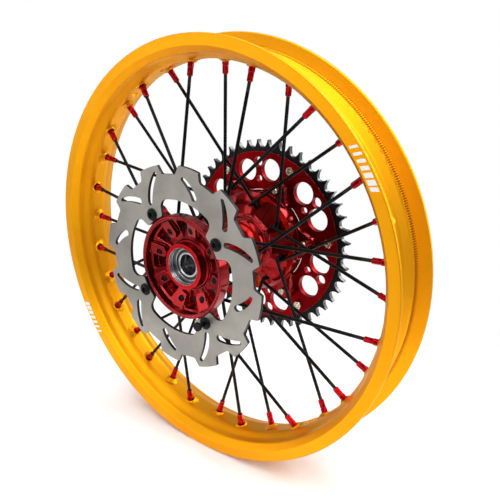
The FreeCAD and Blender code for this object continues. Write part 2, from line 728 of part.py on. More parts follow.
def window_outline():
    """The open stretch inside the disc between two of its four inward tabs."""
    inner = s.disc_inner_radius
    tip = s.tab_tip_radius
    start = s.disc_bolt_angle
    low = tip - 3
    return [
        polar(low, start + 10.8), polar(tip, start + 10.8), Bend(2.6, -1),
        polar(tip + 2.2, start + 13.2), polar(inner - 7.4, start + 14.6), Bend(9.5, 1),
        polar(inner, start + 22.5), Bend(inner, 1), polar(inner, start + 67.5), Bend(9.5, 1),
        polar(inner - 7.4, start + 75.4), polar(tip + 2.2, start + 76.8), Bend(2.6, -1),
        polar(tip, start + 79.2), polar(low, start + 79.2), Bend(low, -1)]


def curved_slot(outer_start, outer_end, inner_start, inner_end, convex, concave, caps):
    """A curved slot between two corners near the disc's edge and two nearer its centre.

    Each corner is a radius and an angle from the bolt; convex and concave are the radii of the
    long sides, and caps are the radii of the outer and inner ends.
    """
    start = s.disc_bolt_angle
    corners = [polar(radius, start + angle)
               for radius, angle in (outer_start, outer_end, inner_start, inner_end)]
    return [corners[0], Bend(caps[0], -1), corners[1], Bend(convex, -1), corners[2],
            Bend(caps[1], -1), corners[3], Bend(concave, 1)]


def build_brake_disc():
    body = new_body("brake_disc")
    front = s.ear_face - s.disc_thick
    blank = side_sketch(body, front)
    draw_circle(blank, (0, 0), s.disc_radius)
    draw_circle(blank, (0, 0), s.tab_tip_radius)
    extrude(body, blank, s.disc_thick)
    valley = side_sketch(body, front)
    draw_outline(valley, valley_outline())
    repeat(body, [extrude(body, valley, s.disc_thick, cut=True)], s.disc_waves)
    window = side_sketch(body, front)
    draw_outline(window, window_outline())
    repeat(body, [extrude(body, window, s.disc_thick, cut=True)], s.ear_count)
    cuts = side_sketch(body, front)
    draw_outline(cuts, curved_slot((111.0, 19.9), (113.2, 17.9), (94.8, 4.4), (88.1, 6.9),
                                   58, 90, (2.5, 4.0)))
    draw_outline(cuts, curved_slot((103.6, 50.9), (107.2, 48.6), (92.2, 36.3), (86.4, 39.4),
                                   40, 60, (2.9, 3.9)))
    start = s.disc_bolt_angle
    draw_outline(cuts, [
        polar(83.35, start - 2.1), Bend(52, -1), polar(111.6, start - 16.5), Bend(2.95, -1),
        polar(109.0, start - 19.1), Bend(88, 1), polar(79.5, start - 5.8), Bend(3.5, -1)])
    draw_circle(cuts, polar(s.disc_bolt_circle, start), s.disc_bolt_radius + s.bolt_play)
    repeat(body, [extrude(body, cuts, s.disc_thick, cut=True)], s.ear_count)


def axis_place(radius, degrees):
    """Places a sketch so that its vertical axis is parallel to the wheel axis at one bolt."""
    return FreeCAD.Placement(on_wheel(radius.value, 0, as_size(degrees).value),
                             FreeCAD.Rotation(FreeCAD.Vector(0, 1, 0), -as_size(degrees).value))


def socket(body, level, radius, angle, flats, depth, towards):
    """A hexagonal key socket sunk into a bolt head from level."""
    sketch = side_sketch(body, level)
    hexagon(sketch, flats, polar(radius, angle))
    return extrude(body, sketch, depth, towards=towards, cut=True)


def build_disc_bolts():
    """Button-head screws through the disc tabs into the hub's ears."""
    body = new_body("disc_bolts")
    under = s.ear_face - s.disc_thick
    top = under - s.disc_head_thick
    head = s.disc_head_radius
    end = s.ear_face + s.ear_thick + s.disc_bolt_end
    outline = [
        (0, top), (head - 3.4, top), Bend(5.5, 1), (head, under - 0.9), (head, under),
        (s.disc_bolt_radius, under), (s.disc_bolt_radius, end - 0.8),
        (s.disc_bolt_radius - 0.8, end), (0, end)]
    place = axis_place(s.disc_bolt_circle, s.disc_bolt_angle)
    bolt = turn(body, outline, place)
    key = socket(body, top, s.disc_bolt_circle, s.disc_bolt_angle, s.disc_key,
                 s.disc_key_depth, 1)
    repeat(body, [bolt, key], s.ear_count)


def build_pickup_stud():
    """A small headed stud that stands in the socket of the fourth disc bolt."""
    body = new_body("disc_bolt_stud")
    top = s.ear_face - s.disc_thick - s.disc_head_thick
    foot = top + s.disc_key_depth - 0.2
    face = top - s.stud_reach
    collar = face + s.stud_head_thick
    head = s.stud_head_radius
    turn(body, [
        (0, foot), (s.stud_radius, foot), (s.stud_radius, collar + 0.3), (head - 0.6, collar),
        (head, collar - 0.6), (head, face + 0.6), (head - 0.6, face), (0, face),
    ], axis_place(s.disc_bolt_circle, s.disc_bolt_angle - 90))


# ---------------------------------------------------------------- chain wheel

def lug_outline(play):
    """One inward lug of the tooth ring, grown by play all round to make its pocket."""
    inner = s.ring_inner_radius + 1.0
    tip = s.lug_radius + play
    root = s.lug_root + play
    circle = s.ring_bolt_circle
    return [
        (inner, -root), (inner, root), (inner - 1.6, root - 1.2), Bend(3, -1),
        (circle + 1.0, tip), (circle, tip), Bend(tip + 0.01, 1), (circle, -tip),
        (circle + 1.0, -tip), Bend(3, -1), (inner - 1.6, 1.2 - root)]


def build_sprocket_ring():
    """Steel tooth ring: the gaps are cut to seat the chain's rollers."""
    body = new_body("sprocket_ring")
    near = s.ring_near
    blank = side_sketch(body, near)
    draw_circle(blank, (0, 0), s.tip_radius)
    draw_circle(blank, (0, 0), s.ring_inner_radius)
    extrude(body, blank, s.ring_thick)
    lug = side_sketch(body, near, s.mount_angle.value)
    draw_outline(lug, lug_outline(0))
    repeat(body, [extrude(body, lug, s.ring_thick)], s.arm_count)
    hole = side_sketch(body, near, s.mount_angle.value)
    draw_circle(hole, (s.ring_bolt_circle, 0), s.ring_bolt_radius + s.thread_play)
    repeat(body, [extrude(body, hole, s.ring_thick, cut=True)], s.arm_count)
    pitch_radius = s.chain_pitch.value / (2 * math.sin(math.pi / s.tooth_count.value))
    seat = s.roller_radius
    half = math.radians(s.seat_half_angle.value)
    side = (pitch_radius - seat.value * math.cos(half), seat.value * math.sin(half))
    gap = side_sketch(body, near, s.mount_angle.value + 180 / s.tooth_count.value)
    draw_outline(gap, [
        (s.tip_radius + 1.2, -s.gap_half_width), (s.tip_radius + 1.2, s.gap_half_width),
        Bend(14, 1), side,
        Bend(seat, 1), (pitch_radius - seat.value, 0), Bend(seat, 1), (side[0], -side[1]),
        Bend(14, 1)])
    repeat(body, [extrude(body, gap, s.ring_thick, cut=True)], s.tooth_count)


def build_sprocket_carrier():
    """Alloy carrier: its front rim covers the tooth ring's inner edge and its holes lighten it."""
    body = new_body("sprocket_carrier")
    near = s.carrier_near
    lap = s.ring_near - s.carrier_near
    front = side_sketch(body, near)
    draw_circle(front, (0, 0), s.carrier_radius)
    draw_circle(front, (0, 0), s.carrier_bore)
    extrude(body, front, lap)
    rear = side_sketch(body, s.ring_near)
    draw_circle(rear, (0, 0), s.ring_inner_radius - s.lap_play)
    draw_circle(rear, (0, 0), s.carrier_bore)
    extrude(body, rear, s.carrier_thick - lap)
    sector = s.mount_angle + 30
    cuts = side_sketch(body, near)
    for way in (-1, 1):
        draw_circle(cuts, polar(s.big_hole_circle, sector + way * s.big_hole_spread),
                    s.big_hole_radius)
    draw_circle(cuts, polar(s.outer_hole_circle, sector), s.outer_hole_radius)
    draw_circle(cuts, polar(s.inner_hole_circle, sector), s.inner_hole_radius)
    draw_circle(cuts, polar(s.mount_bolt_circle, s.mount_angle),
                s.mount_bolt_radius + s.bolt_play)
    through = extrude(body, cuts, s.carrier_thick, cut=True)
    screw_hole = side_sketch(body, near)
    draw_circle(screw_hole, polar(s.ring_bolt_circle, s.mount_angle),
                s.ring_bolt_radius + s.thread_play)
    small = extrude(body, screw_hole, lap, cut=True)
    pocket = side_sketch(body, s.ring_near, s.mount_angle.value)
    draw_outline(pocket, lug_outline(s.lap_play * 2))
    relief = extrude(body, pocket, s.carrier_thick, cut=True)
    repeat(body, [through, small, relief], s.arm_count)


def build_screws(label, circle, radius, head_radius, head_thick, under, end, flats):
    """Six screws of the chain wheel, their heads on its outer face."""
    body = new_body(label)
    top = under + head_thick
    outline = [
        (0, end), (radius - 0.6, end), (radius, end + 0.6), (radius, under),
        (head_radius, under), (head_radius, under + 0.8), Bend(head_thick * 1.6, 1),
        (head_radius * 0.62, top), (0, top)]
    screw = turn(body, outline, axis_place(circle, s.mount_angle))
    key = socket(body, top, circle, s.mount_angle, flats, head_thick * 0.7, -1)
    repeat(body, [screw, key], s.arm_count)


def build_ring_nuts():
    """Six hexagon nuts whose outer faces bear on the carrier, each dished where its screw ends."""
    body = new_body("ring_nuts")
    circle = s.ring_bolt_circle
    flats = s.ring_nut_flats
    centre = polar(circle, s.mount_angle)
    level = s.carrier_near - s.ring_nut_thick
    bore = s.ring_bolt_radius + s.thread_play
    sketch = side_sketch(body, level)
    hexagon(sketch, flats, centre, s.mount_angle.value)
    draw_circle(sketch, centre, bore)
    nut = extrude(body, sketch, s.ring_nut_thick)
    corner = flats * (1 / math.sqrt(3)) + 1.0
    place = axis_place(circle, s.mount_angle)
    cone = [(flats * 0.5 - 0.5, level - 0.2), (corner, level - 0.2), (corner, level + 1.9)]
    bevel = turn(body, cone, place, cut=True)
    floor = level + s.ring_nut_dish
    dish = [(bore - 0.3, level - 0.2), (bore + 0.9, level - 0.2), (bore + 0.7, floor),
            (bore - 0.3, floor)]
    repeat(body, [nut, bevel, turn(body, dish, place, cut=True)], s.arm_count)


# ---------------------------------------------------------------- bearings

def build_bearing(name, near):
    """A sealed ball bearing: two races, balls, their cage and a seal at each face."""
    wide = s.bearing_width
    middle = near + wide * 0.5
    circle = s.ball_circle
    groove = s.ball_radius + s.groove_play
    step = s.race_wall * 0.85
    reach = Size(math.sqrt(groove.value ** 2 - step.value ** 2),
                 f"sqrt(({groove.text})^2 - ({step.text})^2)")
    far = near + wide
    outer_land = circle + step
    inner_land = circle - step
    outer = new_body(f"{name}_outer_race")
    turn(outer, [
        (outer_land, near + 0.3), (outer_land + 0.3, near), (s.bearing_radius - 0.5, near),
        (s.bearing_radius, near + 0.5), (s.bearing_radius, far - 0.5),
        (s.bearing_radius - 0.5, far), (outer_land + 0.3, far), (outer_land, far - 0.3),
        (outer_land, middle + reach), Bend(groove, -1), (outer_land, middle - reach)])
    inner = new_body(f"{name}_inner_race")
    turn(inner, [
        (s.axle_radius, near + 0.4), (s.axle_radius, far - 0.4), (s.axle_radius + 0.4, far),
        (inner_land - 0.3, far), (inner_land, far - 0.3), (inner_land, middle + reach),
        Bend(groove, 1), (inner_land, middle - reach), (inner_land, near + 0.3),
        (inner_land - 0.3, near), (s.axle_radius + 0.4, near)])
    count = s.ball_count
    ball_place = FreeCAD.Placement(FreeCAD.Vector(circle.value, middle.value, 0),
                                   FreeCAD.Rotation())
    balls = new_body(f"{name}_balls")
    repeat(balls, [turn(balls, half_round(s.ball_radius), ball_place)], count)
    cage = new_body(f"{name}_cage")
    thick = s.cage_half_thick
    turn(cage, [(circle - thick, middle - 3.1), (circle + thick, middle - 3.1),
                (circle + thick, middle + 1.6), (circle - thick, middle + 1.6)])
    room = s.ball_radius + s.cage_play
    pocket = side_sketch(cage, middle - room)
    draw_outline(pocket, [(circle - 2, -room), (circle + 2, -room), (circle + 2, room),
                          (circle - 2, room)])
    repeat(cage, [extrude(cage, pocket, room * 2, cut=True)], count)
    sides = ("outer", "inner") if near.value < 0 else ("inner", "outer")
    levels = (near + s.seal_depth, far - s.seal_depth - s.seal_thick)
    for side, level in zip(sides, levels):
        ring(f"{name}_{side}_seal", inner_land + s.seal_play, outer_land, level,
             level + s.seal_thick)


def build_retainer(label, near):
    """A spring ring in its groove, open where its ends meet."""
    body = new_body(label)
    outer = s.bearing_radius + s.retainer_groove - s.retainer_play
    inner = outer - s.retainer_width
    far = near + s.retainer_thick
    turn(body, [(inner, near), (outer, near), (outer, far), (inner, far)])
    gap = side_sketch(body, near)
    low = inner - 1.0
    high = outer + 1.0
    half = s.retainer_gap * 0.5
    draw_outline(gap, [(low, -half), (high, -half), (high, half), (low, half)])
    body.Tip = extrude(body, gap, s.retainer_thick, cut=True)


# ---------------------------------------------------------------- the whole wheel

build_rim()
for one_lace in LACES.values():
    build_spokes(one_lace)
build_nipples("nipples_brake_side", [LACES["brake_leading"], LACES["brake_trailing"]])
build_nipples("nipples_sprocket_side", [LACES["sprocket_leading"], LACES["sprocket_trailing"]])
build_hub()
build_brake_disc()
build_disc_bolts()
build_pickup_stud()
build_sprocket_ring()
build_sprocket_carrier()
build_screws("sprocket_bolts", s.mount_bolt_circle, s.mount_bolt_radius, s.mount_head_radius,
             s.mount_head_thick, s.carrier_near + s.carrier_thick,
             s.arm_front - s.mount_bolt_end, s.mount_key)
build_screws("ring_screws", s.ring_bolt_circle, s.ring_bolt_radius, s.ring_head_radius,
             s.ring_head_thick, s.ring_near + s.ring_thick, s.carrier_near - s.ring_bolt_end,
             s.ring_key)
build_ring_nuts()
build_bearing("bearing_brake", s.brake_bearing)
build_bearing("bearing_drive_inner", s.sprocket_bearing)
build_bearing("bearing_drive_outer", s.sprocket_bearing + s.bearing_width)
build_retainer("retaining_ring_brake", s.brake_bearing - s.retainer_thick - s.retainer_play)
build_retainer("retaining_ring_drive",
               s.sprocket_bearing + s.bearing_width * 2 + s.retainer_play)
ring("spacer_tube", s.axle_radius, s.axle_radius + s.tube_wall,
     s.brake_bearing + s.bearing_width, s.sprocket_bearing)

doc.recompute()
failed = [item.Label for item in doc.Objects if {"Invalid", "Error"} & set(item.State)]
if failed:
    raise RuntimeError(f"features failed: {failed}")
os.makedirs("parts", exist_ok=True)
for body in parts:
    shape = body.Shape
    if shape.isNull() or not shape.isValid() or not shape.Solids:
        raise RuntimeError(f"{body.Label} is not a valid solid")
    shape.exportStep(f"parts/{body.Label}.step")
    print(f"{body.Label}: {len(shape.Solids)} solids, {shape.Volume:.0f} mm3")
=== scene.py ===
import json
import math

import bpy
from mathutils import Matrix, Vector


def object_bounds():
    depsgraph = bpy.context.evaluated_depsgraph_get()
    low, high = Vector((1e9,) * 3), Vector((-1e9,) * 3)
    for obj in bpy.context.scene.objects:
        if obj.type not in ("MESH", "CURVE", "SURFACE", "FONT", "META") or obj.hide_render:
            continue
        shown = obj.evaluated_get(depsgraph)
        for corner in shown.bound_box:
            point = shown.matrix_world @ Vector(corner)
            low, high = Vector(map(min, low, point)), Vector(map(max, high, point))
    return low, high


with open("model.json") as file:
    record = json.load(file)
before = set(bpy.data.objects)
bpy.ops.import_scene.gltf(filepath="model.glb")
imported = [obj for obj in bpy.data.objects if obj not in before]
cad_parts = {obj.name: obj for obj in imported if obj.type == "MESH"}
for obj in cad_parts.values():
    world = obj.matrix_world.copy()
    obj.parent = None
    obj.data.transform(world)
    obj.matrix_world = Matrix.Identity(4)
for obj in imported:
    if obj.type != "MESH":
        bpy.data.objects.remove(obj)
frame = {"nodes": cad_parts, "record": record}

nodes = frame["nodes"]
cad_low, cad_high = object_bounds()

# Places on the wheel in metres: radii from its axis and distances along it.
ARC_RADIUS = 0.1            # the circle on which arc lengths are given
MARK_INNER = 0.2442         # the printed mark on the rim's sides
MARK_HEIGHT = 0.0086
MARK_SIDE = 0.0357
MARK_BARS = 7
SEAT_ALONG = (0.0222, 0.0278)    # the knurled bead seats
SEAT_RADIUS = (0.2400, 0.2452)
KNURL_TEETH = 580
BARE_TEETH = (0.1140, 0.1150)    # the tooth ring's coating ends between these radii
THREAD_START = (0.200, 0.2015)   # the spokes' threads come in between these radii
THREAD_PITCH = 0.0008
SEAL_RING_PITCH = 0.0011
BOSS_FACE = -0.066          # the machined front face of the hub's boss, with a brighter red painted on it as light falling on it
BOSS_FACE_DEPTH = 0.0006
BOSS_FACE_RADIUS = 0.0285
BORE_EDGE = (0.0222, 0.0224)     # bare metal inside the hub's bore, red outside it
FLOOR_GAP = 0.0005          # between the rim and the floor
FLOOR_REACH = 40.0


# ---------------------------------------------------------------- node tree helpers

class Tree:
    """A material's node tree with short ways to add and join nodes."""

    def __init__(self, name):
        self.material = bpy.data.materials.new(name)
        self.material.use_nodes = True
        self.tree = self.material.node_tree
        self.tree.nodes.clear()
        self.output = self.tree.nodes.new("ShaderNodeOutputMaterial")

    def add(self, kind, inputs=None, **settings):
        node = self.tree.nodes.new(kind)
        for name, value in settings.items():
            setattr(node, name, value)
        for key, value in (inputs or {}).items():
            self.feed(node.inputs[key], value)
        return node

    def feed(self, socket, value):
        if isinstance(value, bpy.types.NodeSocket):
            self.tree.links.new(value, socket)
        else:
            socket.default_value = value

    def math(self, operation, first, second=0.0):
        return self.add("ShaderNodeMath", {0: first, 1: second}, operation=operation).outputs[0]

    def combine(self, x, y, z):
        return self.add("ShaderNodeCombineXYZ", {0: x, 1: y, 2: z}).outputs[0]

    def ramp(self, value, low, high, start=0.0, end=1.0):
        """Maps value from low..high to start..end, smoothly and clamped."""
        node = self.add("ShaderNodeMapRange",
                        {"Value": value, "From Min": low, "From Max": high,
                         "To Min": start, "To Max": end},
                        interpolation_type="SMOOTHSTEP")
        return node.outputs["Result"]

    def mix(self, amount, first, second):
        node = self.add("ShaderNodeMix", data_type="RGBA")
        self.feed(node.inputs["Factor"], amount)
        self.feed(node.inputs[6], first)
        self.feed(node.inputs[7], second)
        return node.outputs[2]

    def noise(self, vector, scale, detail=3.0, roughness=0.55):
        node = self.add("ShaderNodeTexNoise",
                        {"Vector": vector, "Scale": scale, "Detail": detail,
                         "Roughness": roughness})
        return node.outputs["Fac"]

    def place(self):
        """The shaded point in the wheel's own frame, in metres."""
        return self.add("ShaderNodeTexCoord").outputs["Object"]

    def around(self):
        """Lathe coordinates about Y: radius, place along Y, and arc length on ARC_RADIUS."""
        split = self.add("ShaderNodeSeparateXYZ", {0: self.place()})
        x, y, z = split.outputs
        radius = self.math("SQRT", self.math("ADD", self.math("MULTIPLY", x, x),
                                             self.math("MULTIPLY", z, z)))
        angle = self.math("ARCTAN2", z, x)
        arc = self.math("MULTIPLY", angle, ARC_RADIUS)
        return radius, y, arc

    def grain(self, radius, along, arc, fine, stretch):
        """Fine lathe lines: noise that is tight across the cut and long around the axis."""
        vector = self.combine(self.math("MULTIPLY", radius, fine),
                              self.math("MULTIPLY", along, fine),
                              self.math("MULTIPLY", arc, stretch))
        return self.noise(vector, 1.0, 2.0, 0.6)

    # The materials paint their edges paler with this mask: partly wear, partly painted highlight.
    def edges(self, radius):
        """How sharply the surface turns within radius: 0 on flats, 1 on edges."""
        rounded = self.add("ShaderNodeBevel", {"Radius": radius}, samples=4).outputs[0]
        normal = self.add("ShaderNodeNewGeometry").outputs["Normal"]
        lined = self.add("ShaderNodeVectorMath", {0: rounded, 1: normal},
                         operation="DOT_PRODUCT").outputs["Value"]
        return self.ramp(self.math("SUBTRACT", 1.0, lined), 0.02, 0.22), rounded

    def facing(self):
        """How far the surface faces along the wheel axis, 0 to 1."""
        normal = self.add("ShaderNodeNewGeometry").outputs["Normal"]
        y = self.add("ShaderNodeSeparateXYZ", {0: normal}).outputs[1]
        return self.math("ABSOLUTE", y)

    def between(self, value, low, high):
        """1 where value lies between low and high, else 0."""
        above = self.math("GREATER_THAN", value, low)
        return self.math("MULTIPLY", above, self.math("LESS_THAN", value, high))

    def bump(self, height, distance, strength, normal=None):
        inputs = {"Height": height, "Distance": distance, "Strength": strength}
        if normal is not None:
            inputs["Normal"] = normal
        return self.add("ShaderNodeBump", inputs).outputs[0]

    def finish(self, **inputs):
        shader = self.add("ShaderNodeBsdfPrincipled")
        for name, value in inputs.items():
            self.feed(shader.inputs[name.replace("_", " ")], value)
        self.tree.links.new(shader.outputs[0], self.output.inputs[0])
        return self.material


def srgb(red, green, blue):
    """Display values 0..255 as a linear colour."""
    def line(value):
        value /= 255
        return value / 12.92 if value <= 0.04045 else ((value + 0.055) / 1.055) ** 2.4
    return (line(red), line(green), line(blue), 1.0)


# ---------------------------------------------------------------- materials

def carrier_red():
    """Dyed, anodised aluminium: lathe grain, cloudy dye and paler edges that are partly wear and
    partly painted highlight.
    """
    tree = Tree("carrier_anodised")
    deep, bright = srgb(112, 3, 10), srgb(146, 7, 16)
    radius, along, arc = tree.around()
    lines = tree.grain(radius, along, arc, 3000, 40)
    clouds = tree.noise(tree.place(), 28, 4)
    specks = tree.noise(tree.place(), 900, 2)
    wear_and_highlight, rounded = tree.edges(0.0004)
    base = tree.mix(tree.ramp(clouds, 0.35, 0.65), deep, bright)
    streaked = tree.mix(tree.math("MULTIPLY", lines, 0.25), base, bright)
    pale = tree.mix(0.55, bright, (1, 1, 1, 1))
    # paler edges: partly wear, partly painted highlight
    colour = tree.mix(tree.math("MULTIPLY", wear_and_highlight, 0.5), streaked, pale)
    roughness = tree.math("ADD", 0.34, tree.math("MULTIPLY", lines, 0.12))
    roughness = tree.math("ADD", roughness, tree.math("MULTIPLY", specks, 0.04))
    normal = tree.bump(lines, 0.00002, 0.35, rounded)
    return tree.finish(Base_Color=colour, Metallic=1.0, Roughness=roughness, Normal=normal)


def bar_mark(tree, radius, along, arc, start, end):
    """A generic printed mark on the rim's sides: slanted bars that thin out towards one end."""
    angle = tree.math("MULTIPLY", arc, math.degrees(1 / ARC_RADIUS))
    across = tree.math("DIVIDE", tree.math("SUBTRACT", radius, MARK_INNER), MARK_HEIGHT)
    length = tree.math("DIVIDE", tree.math("SUBTRACT", angle, start), end - start)
    slanted = tree.math("ADD", length, tree.math("MULTIPLY", across, 0.06))
    bars = tree.math("FRACT", tree.math("MULTIPLY", slanted, MARK_BARS))
    width = tree.ramp(slanted, 0.0, 1.0, 0.80, 0.35)
    mark = tree.math("MULTIPLY", tree.math("LESS_THAN", bars, width),
                     tree.between(slanted, 0.03, 0.98))
    mark = tree.math("MULTIPLY", mark, tree.between(across, 0.0, 1.0))
    side = tree.math("GREATER_THAN", tree.math("ABSOLUTE", along), MARK_SIDE)
    return tree.math("MULTIPLY", mark, side)


def rim_gold():
    """Satin gold anodised rim: lathe grain, knurled bead seats with painted shade in their grooves,
    pale edges that are partly wear and partly painted highlight, a generic mark.
    """
    tree = Tree("rim_gold")
    radius, along, arc = tree.around()
    lines = tree.grain(radius, along, arc, 5200, 26)
    clouds = tree.noise(tree.place(), 9, 4)
    fine = tree.noise(tree.place(), 1400, 2)
    wear_and_highlight, rounded = tree.edges(0.0006)
    gold = tree.mix(tree.ramp(clouds, 0.3, 0.7), srgb(238, 158, 12), srgb(246, 168, 15))
    gold = tree.mix(tree.math("MULTIPLY", lines, 0.30), gold, srgb(252, 186, 38))
    # paler edges: partly wear, partly painted highlight
    gold = tree.mix(tree.math("MULTIPLY", wear_and_highlight, 0.5), gold, srgb(255, 226, 120))
    marks = tree.math("MAXIMUM", bar_mark(tree, radius, along, arc, 28.3, 40.9),
                      bar_mark(tree, radius, along, arc, -152.4, -140.2))
    colour = tree.mix(marks, gold, srgb(236, 236, 232))
    seat = tree.between(tree.math("ABSOLUTE", along), *SEAT_ALONG)
    seat = tree.math("MULTIPLY", seat, tree.between(radius, *SEAT_RADIUS))
    teeth = tree.math("SINE", tree.math("MULTIPLY", arc, KNURL_TEETH / ARC_RADIUS))
    knurl = tree.math("MULTIPLY", seat, tree.ramp(teeth, -0.2, 0.8))
    # painted shade: the knurl's grooves are coloured a darker brown
    colour = tree.mix(tree.math("MULTIPLY", knurl, 0.8), colour, srgb(112, 56, 2))
    height = tree.math("SUBTRACT", tree.math("MULTIPLY", lines, 0.1), knurl)
    relief = tree.bump(height, 0.0002, 0.5, rounded)
    rough = tree.math("ADD", 0.40, tree.math("MULTIPLY", lines, 0.10))
    rough = tree.math("ADD", rough, tree.math("MULTIPLY", fine, 0.05))
    metallic = tree.math("SUBTRACT", 1.0, marks)
    return tree.finish(Base_Color=colour, Metallic=metallic, Roughness=rough, Normal=relief)


def ground_disc():
    """Ground brake disc steel: fine crossed grinding on its faces, dark coating on its cut edges."""
    tree = Tree("ground_disc_steel")
    radius, _, arc = tree.around()
    spiral = tree.math("ADD", arc, tree.math("MULTIPLY", radius, 0.9))
    counter = tree.math("SUBTRACT", arc, tree.math("MULTIPLY", radius, 0.9))
    first = tree.combine(tree.math("MULTIPLY", spiral, 2600), tree.math("MULTIPLY", counter, 60), 0.0)
    first = tree.noise(first, 1.0, 2)
    second = tree.combine(tree.math("MULTIPLY", counter, 2600), tree.math("MULTIPLY", spiral, 60), 3.0)
    second = tree.noise(second, 1.0, 2)
    crossed = tree.math("MULTIPLY", tree.math("ADD", first, second), 0.5)
    clouds = tree.noise(tree.place(), 22, 4)
    wear_and_highlight, rounded = tree.edges(0.00045)
    steel = tree.mix(tree.ramp(clouds, 0.3, 0.7), srgb(150, 146, 139), srgb(176, 172, 164))
    steel = tree.mix(tree.math("MULTIPLY", crossed, 0.35), steel, srgb(120, 118, 113))
    # paler edges: partly wear, partly painted highlight
    steel = tree.mix(tree.math("MULTIPLY", wear_and_highlight, 0.6), steel, srgb(214, 212, 206))
    face = tree.ramp(tree.facing(), 0.3, 0.6)
    colour = tree.mix(face, srgb(22, 22, 24), steel)
    roughness = tree.math("ADD", 0.34, tree.math("MULTIPLY", crossed, 0.14))
    normal = tree.bump(crossed, 0.00002, 0.3, rounded)
    metallic = tree.ramp(face, 0.0, 1.0, 0.55, 1.0)
    return tree.finish(Base_Color=colour, Metallic=metallic, Roughness=roughness, Normal=normal)


def toothed_steel():
    """Black coated tooth ring with the coating machined off the tooth flanks."""
    tree = Tree("toothed_steel")
    radius, _, _ = tree.around()
    face = tree.ramp(tree.facing(), 0.4, 0.7)
    outside = tree.ramp(radius, *BARE_TEETH)
    bare = tree.math("MULTIPLY", tree.math("SUBTRACT", 1.0, face), outside)
    flecks = tree.noise(tree.place(), 700, 3)
    wear_and_highlight, rounded = tree.edges(0.0004)
    black = tree.mix(flecks, srgb(8, 8, 9), srgb(20, 20, 22))
    # greyer edges: partly wear, partly painted highlight
    black = tree.mix(tree.math("MULTIPLY", wear_and_highlight, 0.35), black, srgb(110, 110, 112))
    steel = tree.mix(flecks, srgb(84, 85, 88), srgb(128, 129, 132))
    colour = tree.mix(bare, black, steel)
    roughness = tree.ramp(bare, 0.0, 1.0, 0.40, 0.34)
    metallic = tree.ramp(bare, 0.0, 1.0, 0.0, 1.0)
    return tree.finish(Base_Color=colour, Metallic=metallic, Roughness=roughness,
                       Normal=tree.bump(flecks, 0.00003, 0.25, rounded),
                       Specular_IOR_Level=0.15)


def spoke_coat():
    """Satin black spoke: faint orange peel, and a rolled thread where it enters its nipple."""
    tree = Tree("spoke_coat")
    radius, _, _ = tree.around()
    peel = tree.noise(tree.place(), 1500, 2)
    scuffs = tree.noise(tree.place(), 60, 5, 0.7)
    thread = tree.math("SINE", tree.math("MULTIPLY", radius, 2 * math.pi / THREAD_PITCH))
    threaded = tree.ramp(radius, *THREAD_START)
    height = tree.math("MULTIPLY", thread, threaded)
    colour = tree.mix(tree.ramp(scuffs, 0.5, 0.75), srgb(5, 5, 6), srgb(16, 16, 18))
    colour = tree.mix(tree.math("MULTIPLY", threaded, 0.5), colour, srgb(52, 50, 48))
    relief = tree.bump(height, 0.00012, 0.7, tree.bump(peel, 0.00002, 0.3))
    rough = tree.ramp(scuffs, 0.3, 0.7, 0.24, 0.36)
    return tree.finish(Base_Color=colour, Metallic=0.0, Roughness=rough, Normal=relief,
                       Specular_IOR_Level=0.12)


def plain_metal(name, dark, light, rough, scale=500, metallic=1.0, edge_light=0.4, shine=0.5):
    """Small turned or pressed metal pieces: mottled colour, uneven polish and paler edges that are
    partly wear and partly painted highlight.
    """
    tree = Tree(name)
    mottle = tree.noise(tree.place(), scale, 4)
    wear_and_highlight, rounded = tree.edges(0.0003)
    colour = tree.mix(tree.ramp(mottle, 0.35, 0.65), dark, light)
    pale = tree.mix(0.5, light, (1, 1, 1, 1))
    # paler edges: partly wear, partly painted highlight
    colour = tree.mix(tree.math("MULTIPLY", wear_and_highlight, edge_light), colour, pale)
    roughness = tree.ramp(mottle, 0.3, 0.7, rough - 0.06, rough + 0.06)
    return tree.finish(Base_Color=colour, Metallic=metallic, Roughness=roughness,
                       Normal=tree.bump(mottle, 0.00002, 0.3, rounded),
                       Specular_IOR_Level=shine)


def turned_steel(name, dark, light, rough):
    """Bright turned steel with rings around the wheel axis."""
    tree = Tree(name)
    radius, along, arc = tree.around()
    lines = tree.grain(radius, along, arc, 4200, 14)
    wear_and_highlight, rounded = tree.edges(0.0003)
    colour = tree.mix(lines, dark, light)
    # paler edges: partly wear, partly painted highlight
    colour = tree.mix(tree.math("MULTIPLY", wear_and_highlight, 0.5), colour, (0.9, 0.9, 0.9, 1))
    roughness = tree.math("ADD", rough - 0.05, tree.math("MULTIPLY", lines, 0.12))
    return tree.finish(Base_Color=colour, Metallic=1.0, Roughness=roughness,
                       Normal=tree.bump(lines, 0.00003, 0.4, rounded))


def seal_rubber():
    """Black seal rubber with fine moulded rings around the wheel axis."""
    tree = Tree("seal_rubber")
    fine = tree.noise(tree.place(), 2600, 3)
    radius, _, _ = tree.around()
    rings = tree.math("SINE", tree.math("MULTIPLY", radius, 2 * math.pi / SEAL_RING_PITCH))
    colour = tree.mix(fine, srgb(14, 14, 14), srgb(34, 34, 35))
    height = tree.math("ADD", tree.math("MULTIPLY", rings, 0.4), tree.math("MULTIPLY", fine, 0.3))
    return tree.finish(Base_Color=colour, Metallic=0.0, Roughness=0.55,
                       Normal=tree.bump(height, 0.00006, 0.5))


